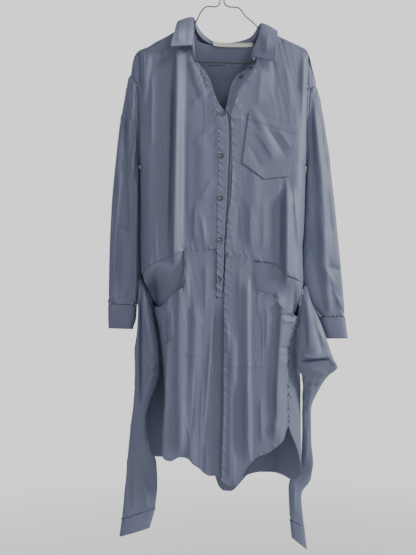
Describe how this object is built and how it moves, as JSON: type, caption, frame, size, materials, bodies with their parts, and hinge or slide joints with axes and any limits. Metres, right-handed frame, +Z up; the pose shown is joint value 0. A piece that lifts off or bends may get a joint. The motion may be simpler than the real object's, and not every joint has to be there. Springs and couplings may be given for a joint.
{
  "type": "shirt dress on a hanger",
  "caption": "Long-sleeved shirt dress in blue-grey cotton on a wire hanger, with an open collar, a chest pocket, hip pockets and a pair of empty sleeves hanging from the hips as ties",
  "frame": {"origin": "inner top of the hanger's hook, where it rests on a rail", "axes": "+Z up, -Y the garment's front, +X the wearer's left"},
  "size_m": [0.562, 0.159, 1.3928],
  "materials": {
    "shirting": "soft cotton with a slight sheen",
    "button": "glossy",
    "wire": "satin",
    "label": "satin weave"
  },
  "bodies": {
    "root": {"hanger_hook": "wire", "hanger_arm_right": "wire", "hanger_arm_left": "wire", "hanger_bar": "wire", "front_right": "shirting", "front_left": "shirting", "back": "shirting", "yoke": "shirting", "buttonhole_band": "shirting", "button_band": "shirting", "collar_stand": "shirting", "collar": "shirting", "skirt_front_right": "shirting", "skirt_front_left": "shirting", "skirt_back": "shirting", "hip_pocket_right": "shirting", "hip_pocket_left": "shirting", "chest_pocket": "shirting", "sleeve_right": "shirting", "sleeve_left": "shirting", "cuff_right": "shirting", "cuff_left": "shirting", "tie_sleeve_right": "shirting", "tie_sleeve_left": "shirting", "tie_cuff_right": "shirting", "tie_cuff_left": "shirting", "button_3": "button", "button_4": "button", "button_5": "button", "button_6": "button", "button_7": "button", "button_1": "button", "button_2": "button", "neck_label": "label"}
  },
  "joints": []
}
